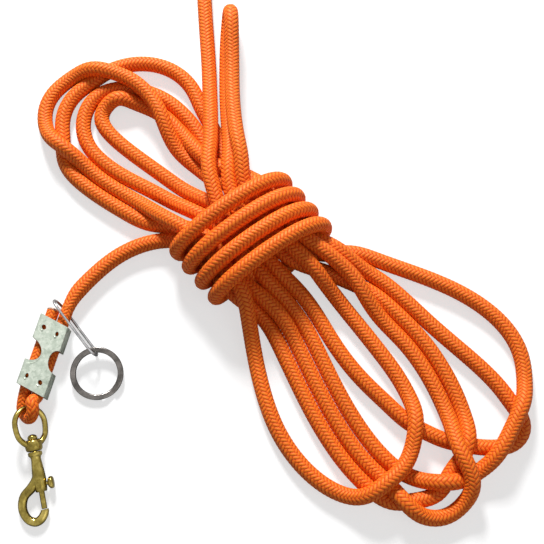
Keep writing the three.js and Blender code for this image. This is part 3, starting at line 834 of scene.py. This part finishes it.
def make_clamp():
    """A stamped plate bent round both strands, with two bands joined by a waist in front."""
    skewed = CLAMP @ Matrix(((1, 0, 0, 0), (-CLAMP_SKEW, 1, 0, 0), (0, 0, 1, 0), (0, 0, 0, 1)))
    upright = skewed @ Matrix.Translation((0, 0, CLAMP_THICKNESS / 2)) @ Matrix.Rotation(
        math.radians(90), 4, "X")
    half = CLAMP_LENGTH / 2
    clamp = prism("rope_clamp_plate", rounded_box(CLAMP_WIDTH, CLAMP_THICKNESS, CLAMP_CORNER),
                  -half, half, zinc, upright)
    inner = rounded_box(CLAMP_WIDTH - 2 * PLATE, CLAMP_THICKNESS - 2 * PLATE, CLAMP_CORNER - PLATE)
    top = CLAMP_THICKNESS
    open_half = half - BAND_LENGTH
    square = np.array([(-1, -1), (1, -1), (1, 1), (-1, 1)])
    cutters = [
        prism("c", inner, -half - 1, half + 1, zinc, upright),
        prism("c", square * (CLAMP_WIDTH, open_half), -1, top - CLAMP_CORNER, zinc, skewed),
        prism("c", square * (SEAM_WIDTH / 2, half + 5) + (SEAM_AT, 0), -1, PLATE + 1, zinc, skewed),
    ]
    for side, depth in NOTCHES.items():
        outline = oval(side * CLAMP_WIDTH / 2, 0, depth, open_half)
        cutters.append(prism("c", outline, top - CLAMP_CORNER - PLATE, top + 1, zinc, skewed))
    for x, y in PUNCHES:
        hole = oval(x, y, PUNCH_RADIUS * (0.75 if x * y > 0 else 1), PUNCH_RADIUS, 20)
        cutters.append(prism("c", hole, top - PLATE - 1, top + 1, zinc, skewed))
    boolean(clamp, cutters)
    round_edges(clamp, 0.28)
    details = []
    for x, y in PUNCHES:
        lip = [(x - 1.5, y - 1.9, top - 0.25), (x - 0.6, y - 2.1, top + 0.05), (x + 0.4, y - 1.8, top - 0.3)]
        details.append(swept("lip", lip, [0.3, 0.55, 0.3], zinc, skewed, 12))
    arc = []
    for step in range(9):
        angle = math.radians(-78 + 9 * step)
        arc.append((-CLAMP_WIDTH / 2 + 8.4 * math.cos(angle), (open_half + 2.2) * math.sin(angle),
                    top - 0.12))
    details.append(swept("emboss", arc, [0.1] + [0.3] * 7 + [0.1], zinc, skewed, 10))
    join_meshes(clamp, details)
    finish_piece(clamp, "leash", "zinc_steel", "rope_clamp")


def join_meshes(piece, others):
    """Makes the others part of a piece, as closed bodies of its mesh."""
    work = bmesh.new()
    work.from_mesh(piece.data)
    for other in others:
        work.from_mesh(other.data)
        bpy.data.objects.remove(other)
    work.to_mesh(piece.data)
    work.free()
    smooth_faces(piece)


EYE_WIRE = 1.5
EYE_INNER = 7.2
EYE_LENGTH = 23.8
EYE_DROP = 9.5
BOSS_HEIGHT = 6.5
STRAND_TURN = EYE_WIRE + STRAND_DIAMETER / 2 + 1.5 * FIT_GAP


def make_eye():
    ring = EYE_INNER + EYE_WIRE
    side = [(-2.9, -EYE_LENGTH + 3.4, 0), (-0.66 * ring, -EYE_LENGTH + 5.6, 0), (-0.9 * ring, -1.75 * ring, 0)]
    top = [(ring * math.cos(a), ring * (math.sin(a) - 1), 0) for a in np.linspace(math.pi, 0, 9)]
    mirrored = [(-x, y, z) for x, y, z in reversed(side)]
    radii = [1.7, 1.55, 1.5] + [EYE_WIRE] * 9 + [1.5, 1.55, 1.7]
    eye = swept("swivel_eye_loop", side + top + mirrored, radii, brass, EYE, 28)
    low, high = -EYE_LENGTH, -EYE_LENGTH + BOSS_HEIGHT
    boss = lathe("boss", [(1.6, low), (3.5, low), (4.1, low + 0.3), (4.55, low + 1.3), (4.7, low + 2.6),
                          (4.55, high - 1.5), (4.0, high - 0.6), (3.2, high - 0.1), (1.6, high)],
                 brass, EYE)
    boolean(eye, [boss], "UNION")
    smooth_faces(eye, 50)
    finish_piece(eye, "eye", "brass", "swivel_eye")


RIVET_HEAD = 2.65
RIVET_REACH = 3.3
COLLAR_FACE = -EYE_LENGTH - FIT_GAP
BARREL_LENGTH = 21.7
MOUTH = COLLAR_FACE - BARREL_LENGTH
HOOK_WIDTH = 13.6
HOOK_RADIUS = 2.1
HOOK_LENGTH = 39
HOOK_END = COLLAR_FACE - HOOK_LENGTH
HOOK_TIP = MOUTH - 9.5
BOLT_RADIUS = 1.5
BOLT_OUTER = HOOK_TIP + FIT_GAP
BOLT_INNER = BOLT_OUTER + 15.4
BOLT_TRAVEL = 7.5
KNOB_SETBACK = 1.3
KNOB_STEM = 1.0


def make_rivet():
    seat = -EYE_LENGTH + BOSS_HEIGHT + FIT_GAP / 3
    shank = 1.2
    dome = [(RIVET_HEAD * math.cos(a), seat + 0.7 + 1.9 * math.sin(a)) for a in np.linspace(0, math.pi / 2, 12)]
    dome[-1] = (0, dome[-1][1])
    rivet = lathe("swivel_rivet_dome", [(0, COLLAR_FACE - RIVET_REACH + FIT_GAP), (shank, COLLAR_FACE - RIVET_REACH + FIT_GAP),
                                        (shank, seat), (RIVET_HEAD, seat)] + dome, brass, SNAP)
    smooth_faces(rivet, 50)
    finish_piece(rivet, "snap", "brass", "swivel_rivet")


def make_snap():
    face = COLLAR_FACE
    stem = lathe("snap_casting", [
        (1.5, MOUTH), (2.7, MOUTH), (3.1, MOUTH + 0.5), (3.5, MOUTH + 3), (3.65, MOUTH + 6.5),
        (3.45, MOUTH + 10.5), (3.05, MOUTH + 14), (2.75, face - 5), (2.7, face - 3.6), (2.95, face - 2.7),
        (3.6, face - 2.2), (3.85, face - 1.8), (3.85, face - 0.5), (3.6, face - 0.1), (3.2, face),
        (1.5, face)], brass, SNAP, 64)
    side = -(HOOK_WIDTH - HOOK_RADIUS)
    low = HOOK_END + HOOK_RADIUS
    hook = swept("hook", [
        (-0.4, MOUTH + 12, 0), (-1.6, MOUTH + 7, 0), (0.42 * side, MOUTH + 3.2, 0),
        (0.84 * side, MOUTH - 0.8, 0), (side, 0.5 * (MOUTH + low) + 1.2, 0), (0.93 * side, low + 4.3, 0),
        (0.76 * side, low + 1.4, 0), (0.5 * side, low, 0), (0.25 * side, low + 0.9, 0),
        (0.06 * side, HOOK_TIP - 2.4, 0), (0, HOOK_TIP - 0.8, 0), (0, HOOK_TIP, 0)],
        [2.4, 2.7, 2.7, 2.5, 2.4, 2.35, 2.35, 2.4, 2.4, 2.3, 2.2, 2.1], brass, SNAP, 28)
    boolean(stem, [hook], "UNION")
    bore = lathe("c", [(1e-3, MOUTH - 4), (BOLT_RADIUS + FIT_GAP, MOUTH - 4), (BOLT_RADIUS + FIT_GAP, face - 4.5),
                       (1e-3, face - 4.5)], brass, SNAP)
    low_slot = BOLT_INNER - KNOB_SETBACK - 2 * KNOB_STEM - FIT_GAP
    high_slot = BOLT_INNER - KNOB_SETBACK + BOLT_TRAVEL + FIT_GAP
    slot = prism("c", [(1, low_slot), (6, low_slot), (6, high_slot), (1, high_slot)],
                 -KNOB_STEM - FIT_GAP, KNOB_STEM + FIT_GAP, brass, SNAP)
    boolean(stem, [bore, slot])
    smooth_faces(stem, 42)
    finish_piece(stem, "snap", "brass", "snap_body")


def make_bolt():
    bolt = lathe("snap_bolt_pin", [(0, BOLT_OUTER), (1.2, BOLT_OUTER), (BOLT_RADIUS, BOLT_OUTER + 0.3),
                                   (BOLT_RADIUS, BOLT_INNER - 0.2), (1.3, BOLT_INNER), (0, BOLT_INNER)],
                 brass, SNAP)
    smooth_faces(bolt, 35)
    finish_piece(bolt, "bolt", "brass", "snap_bolt")
    place = SNAP @ Matrix.Translation((0, BOLT_INNER - KNOB_SETBACK - KNOB_STEM, 0))
    knob = lathe("thumb_knob_head", [
        (0, BOLT_RADIUS), (KNOB_STEM, BOLT_RADIUS), (KNOB_STEM, 3.9), (1.7, 4.1), (2.3, 4.4), (2.7, 4.8),
        (3.1, 5.1), (3.3, 5.6), (3.3, 6.4), (3.1, 6.9), (2.6, 7.2), (1.8, 7.35), (0, 7.4)], brass, place, 40, "X")
    smooth_faces(knob, 45)
    finish_piece(knob, "bolt", "brass", "thumb_knob")


SPRING_WIRE = 0.45
SPRING_TURNS = 6
SPRING_WALL = 1.2


def make_spring():
    """The bolt's spring, coiled between the bolt's inner end and the end of its bore."""
    low = BOLT_INNER + FIT_GAP + SPRING_WIRE / 2
    high = COLLAR_FACE - RIVET_REACH - SPRING_WALL - FIT_GAP - SPRING_WIRE / 2
    radius = BOLT_RADIUS - SPRING_WIRE / 2
    points = []
    for share in np.linspace(0, 1, SPRING_TURNS * 12 + 1):
        angle = 2 * math.pi * SPRING_TURNS * share
        points.append((radius * math.cos(angle), low + (high - low) * share, radius * math.sin(angle)))
    spring = swept("bolt_spring_coil", points, SPRING_WIRE / 2, spring_steel, SNAP, 10, 0.25)
    smooth_faces(spring, 60)
    finish_piece(spring, "snap", "spring_steel", "bolt_spring")
    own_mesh(spring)


LINK_WIRE = 1.5
LINK_LENGTH = 41
LINK_HEIGHT = 13
LINK_OVERHANG = 11
LINK_HEADING = math.radians(-51.8)
LINK_ROLL = math.radians(12)
RING_OUTER = 14.7
RING_BAND = 3.1
RING_TURN = 1.5
RING_TURN_GAP = 0.2
RING_HOOK = 4.6
RING_HEADING = math.radians(-78)
RING_JOG = math.radians(38)
LINK_PLACE = Vector(at_clamp(STRAND_SIDE, CLAMP_LENGTH / 2 + 5.5, LINK_HEIGHT / 2 + FLOOR_GAP))


def make_link():
    """A long oval of wire on edge, its ends brazed together inside the turn next to the ring."""
    matrix = (Matrix.Translation(LINK_PLACE) @ Matrix.Rotation(LINK_HEADING, 4, "Z")
              @ Matrix.Rotation(LINK_ROLL, 4, "X"))
    radius = (LINK_HEIGHT - LINK_WIRE) / 2
    slide = LINK_LENGTH / 2 - LINK_HEIGHT / 2
    middle = LINK_LENGTH / 2 - LINK_OVERHANG
    rows, sides = 96, 20
    points = []
    for row in range(rows):
        turn = 2 * math.pi * (row + 0.5) / rows
        centre_x = middle + math.copysign(slide, math.cos(turn))
        out = np.array([math.cos(turn), 0, math.sin(turn)])
        for side in range(sides):
            angle = 2 * math.pi * side / sides
            reach = radius + LINK_WIRE / 2 * math.cos(angle)
            points.append((centre_x + reach * out[0], LINK_WIRE / 2 * math.sin(angle), reach * out[2]))
    link = grid_object("wire_link_wire", placed(points, matrix), rows, sides, link_steel, closed=True)
    smooth_faces(link, 60)
    finish_piece(link, "link", "ring_steel", "wire_link")


def make_ring():
    """Two flat turns of spring wire, one on the other, joined by a short sloping step."""
    place = Vector(joints["ring_swing"]["pos_m"]) / MM
    middle = RING_OUTER - RING_BAND / 2
    height = 2 * RING_TURN + RING_TURN_GAP
    lean = math.asin((place.z - height / 2 - 4 * FLOOR_GAP) / (2 * middle))
    matrix = (Matrix.Translation(place) @ Matrix.Rotation(RING_HEADING, 4, "Z")
              @ Matrix.Rotation(lean, 4, "Y") @ Matrix.Translation((middle, 0, 0)))
    section = rounded_box(RING_BAND, RING_TURN, 0.72, 5)
    turn_angle = 2 * math.pi - RING_JOG
    total = 2 * turn_angle + RING_JOG
    rows = 280
    points = []
    for row in range(rows):
        turn = total * row / (rows - 1)
        share = min(max((turn - turn_angle) / RING_JOG, 0), 1)
        rise = (RING_TURN + RING_TURN_GAP) * (share * share * (3 - 2 * share) - 0.5)
        for across, up in section:
            reach = middle + across
            points.append((reach * math.cos(-turn), reach * math.sin(-turn), up + rise))
    ring = grid_object("split_ring_coil", placed(points, matrix), rows, len(section), ring_steel)
    smooth_faces(ring, 40)
    finish_piece(ring, "ring", "ring_steel", "split_ring")


HELD_DRAWN = 7.0                    # the strand's diameter, less its clearance from the eye


def make_held_rope():
    """The stretch in the clamp: over the eye's wire, down through the eye and back under it."""
    end = CLAMP_LENGTH / 2
    level = CLAMP_THICKNESS / 2
    points = [STANDING_END] + [at_clamp(STRAND_SIDE, forward, up) for forward, up in (
        (end, level), (0, level), (-end + 5, level), (-end + 1.5, level + 0.1), (-end - 2, level + 0.4))]
    for share in np.linspace(0, 1, 9):
        angle = math.radians(68 + share * (278 - 68))
        local = (0.9 * (1 - share), STRAND_TURN * math.cos(angle), STRAND_TURN * math.sin(angle))
        points.append(np.array(EYE @ Vector(local)))
    points += [at_clamp(-STRAND_SIDE, forward, level) for forward in (-end + 2, 0, end + 5.6)]
    path = smooth_through(np.array(points), 0.5)
    held = braided("rope_eye_strands", path, HELD_DRAWN, rope_material, relief=0.22, cap=0.05)
    finish_piece(held, "leash", "rope", "rope_eye")
    place = Vector(at_clamp(-STRAND_SIDE, end + 5.6 + 0.1, level))
    seal = lathe("rope_end_melt", [(0, 0), (3.3, 0), (3.6, 0.25), (3.5, 0.7), (2.9, 1.15), (1.8, 1.35),
                                   (1.0, 1.2), (0, 1.05)], melted, axes_matrix(
        Vector(ACROSS), Vector(ALONG), Vector((0, 0, 1)), place))
    finish_piece(seal, "leash", "rope_end", "rope_end_seal")


def melted_material():
    n = Nodes("rope_end")
    lumps = n.noise(n.coordinates("Object"), 700, 4, 0.6)
    colour = n.ramp(lumps, [(0.3, (0.35, 0.12, 0.05)), (0.7, (0.75, 0.55, 0.4))])
    return n.out(colour, n.ramp(lumps, [(0.3, 0.35), (0.7, 0.6)]), n.bump(lumps, 0.5, 0.0004))


melted = melted_material()
KNOT_LENGTH = 24


def make_knot():
    """A double stopper knot: the rope runs through three turns of itself and out at the end."""
    start = np.array(LEAD[-1]) + np.array([0, 0.35, 2.05])
    points = [start, start + (0, 4, 0), start + (0, 9, 0), start + (0, 15, 0)]
    turns, radius = 2.6, 7.4
    for share in np.linspace(0.06, 1, 30):
        angle = 2 * math.pi * turns * share
        grow = min(1, share * 5)
        points.append(start + (radius * grow * math.sin(angle), 19.2 - 15.5 * share, radius * grow * math.cos(angle)))
    path = smooth_through(np.array(points), 0.6)
    path[:, 2] = np.maximum(path[:, 2], FLOOR_UP - 0.2)
    knot = braided("end_knot_turns", path, 8.4, rope_material)
    finish_piece(knot, "leash", "rope", "end_knot")
    return knot


make_clamp()
make_eye()
make_rivet()
make_snap()
make_bolt()
make_spring()
make_link()
make_ring()
make_held_rope()
knot = make_knot()

# --------------------------------------------------------------------------------------------
# Floor, light and background
# --------------------------------------------------------------------------------------------

FLOOR_SIDE = 6.0
FLOOR_GLOW = 0.62
WORLD_LIGHT = 0.16


def make_floor():
    n = Nodes("floor")
    grain = n.noise(n.coordinates("Object"), 3, 2)
    n.set(Roughness=0.9, Emission_Color=(1, 1, 1, 1))
    path = n.tree.nodes.new("ShaderNodeLightPath")
    seen = n.math("MULTIPLY", path.outputs["Is Camera Ray"], FLOOR_GLOW)
    n.link(seen, n.shader.inputs["Emission Strength"])
    n.out(n.ramp(grain, [(0.0, (0.46, 0.46, 0.46)), (1.0, (0.5, 0.5, 0.5))]))
    bpy.ops.mesh.primitive_plane_add(size=FLOOR_SIDE, location=(0.13, 0.08, 0))
    floor = bpy.context.object
    floor.name = "floor"
    floor.data.materials.append(n.material)


def make_world():
    world = bpy.data.worlds.new("world")
    bpy.context.scene.world = world
    world.use_nodes = True
    tree = world.node_tree
    path = tree.nodes.new("ShaderNodeLightPath")
    seen = path.outputs["Is Camera Ray"]
    for ray in ("Is Glossy Ray", "Is Transmission Ray"):
        either = tree.nodes.new("ShaderNodeMath")
        either.operation = "MAXIMUM"
        tree.links.new(seen, either.inputs[0])
        tree.links.new(path.outputs[ray], either.inputs[1])
        seen = either.outputs[0]
    mix = tree.nodes.new("ShaderNodeMixShader")
    white = tree.nodes.new("ShaderNodeBackground")
    white.inputs["Color"].default_value = (1, 1, 1, 1)
    white.inputs["Strength"].default_value = 1.0
    soft = tree.nodes["Background"]
    soft.inputs["Color"].default_value = (1, 1, 1, 1)
    soft.inputs["Strength"].default_value = WORLD_LIGHT
    tree.links.new(seen, mix.inputs[0])
    tree.links.new(soft.outputs[0], mix.inputs[1])
    tree.links.new(white.outputs[0], mix.inputs[2])
    tree.links.new(mix.outputs[0], tree.nodes["World Output"].inputs["Surface"])


def make_lamp(name, place, size, power, aim=(0.13, 0.07, 0)):
    data = bpy.data.lights.new(name, "AREA")
    data.size = size
    data.energy = power
    lamp = bpy.data.objects.new(name, data)
    bpy.context.scene.collection.objects.link(lamp)
    lamp.location = place
    lamp.rotation_euler = (Vector(aim) - Vector(place)).to_track_quat("-Z", "Y").to_euler()


make_floor()
make_world()
make_lamp("key", (-0.1, 1.35, 0.9), 0.3, 36)
make_lamp("fill", (0.9, -0.5, 1.0), 0.9, 2)

bpy.context.scene.view_settings.view_transform = "Standard"
